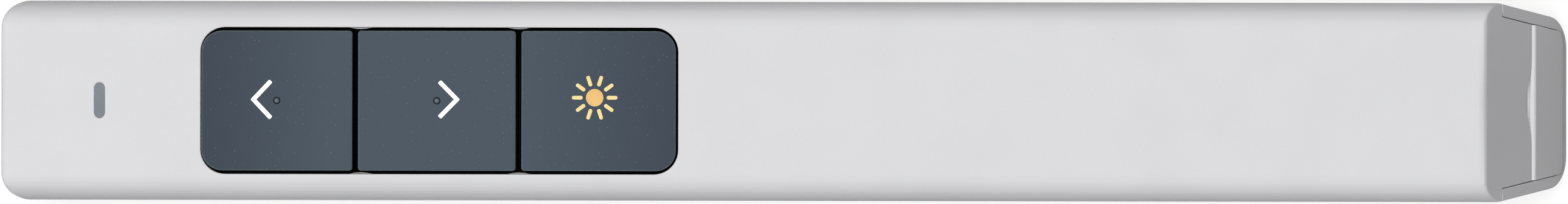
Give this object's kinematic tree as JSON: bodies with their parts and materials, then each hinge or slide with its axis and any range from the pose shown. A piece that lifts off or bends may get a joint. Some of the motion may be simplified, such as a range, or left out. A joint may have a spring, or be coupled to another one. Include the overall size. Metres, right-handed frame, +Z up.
{
  "type": "laser pointer",
  "caption": "Slim white wireless presenter with a laser: flat slate keys on top, slanted tail that holds a pull-out USB receiver, and a rear cover that slides off the battery.",
  "frame": {"origin": "middle of the footprint, on the flat underside", "axes": "+X along the body towards the tail, +Z up through the keys; the laser leaves along -X"},
  "size_m": [0.143, 0.018, 0.0147],
  "materials": {
    "shell_white": "fine matte moulded white",
    "key_slate": "matte slate with fine pale specks",
    "indicator_grey": "grey translucent light guide",
    "window_clear": "clear moulded optic",
    "led_clear": "small light emitting diode",
    "board_green": "glass fibre board with green mask",
    "chip_black": "black moulded plastic",
    "plunger_black": "black moulded plunger",
    "passive_tan": "chip capacitors",
    "box_black": "black moulded plastic",
    "cell_wrap": "plain shrink wrap, no label",
    "steel": "plated steel",
    "brass": "turned brass",
    "contact_gold": "gold plated strip",
    "wire_red": "red insulated wire",
    "wire_black": "black insulated wire"
  },
  "bodies": {
    "body": {"top_cover": "shell_white", "front_shell": "shell_white", "light_guide": "indicator_grey", "laser_window": "window_clear", "main_board": "board_green", "laser_board": "board_green", "radio_chip": "chip_black", "crystal": "steel", "board_passives": "passive_tan", "indicator_led": "led_clear", "board_screws": "steel", "case_screws": "steel", "box_screws": "steel", "laser_barrel": "brass", "laser_lens": "window_clear", "laser_diode": "steel", "laser_leads": "wire_red", "battery_box": "box_black", "battery_cell": "cell_wrap", "battery_nub": "steel", "positive_contact": "steel", "negative_contact": "steel", "negative_spring": "steel", "battery_lead": "wire_black", "key_mat": "box_black", "switch_base_previous": "chip_black", "switch_plate_previous": "steel", "switch_base_next": "chip_black", "switch_plate_next": "steel", "switch_base_laser": "chip_black", "switch_plate_laser": "steel"},
    "rear_cover": {"rear_cover": "shell_white"},
    "receiver": {"receiver_cap": "shell_white", "usb_shell": "steel", "usb_tongue": "chip_black", "usb_contacts": "contact_gold", "receiver_board": "board_green"},
    "previous_key": {"key_previous": "key_slate", "switch_plunger_previous": "plunger_black"},
    "next_key": {"key_next": "key_slate", "switch_plunger_next": "plunger_black"},
    "laser_key": {"key_laser": "key_slate", "switch_plunger_laser": "plunger_black"}
  },
  "joints": [
    {"name": "rear_cover_slide", "type": "slide", "parent": "body", "child": "rear_cover", "axis": [1, 0, 0], "range_m": [0, 0.08]},
    {"name": "receiver_slide", "type": "slide", "parent": "rear_cover", "child": "receiver", "axis": [1, 0, 0], "range_m": [0, 0.024]},
    {"name": "previous_press", "type": "slide", "parent": "body", "child": "previous_key", "axis": [0, 0, -1], "range_m": [0, 0.0004], "stiffness_N_per_m": 400},
    {"name": "next_press", "type": "slide", "parent": "body", "child": "next_key", "axis": [0, 0, -1], "range_m": [0, 0.0004], "stiffness_N_per_m": 400},
    {"name": "laser_press", "type": "slide", "parent": "body", "child": "laser_key", "axis": [0, 0, -1], "range_m": [0, 0.0004], "stiffness_N_per_m": 400}
  ]
}
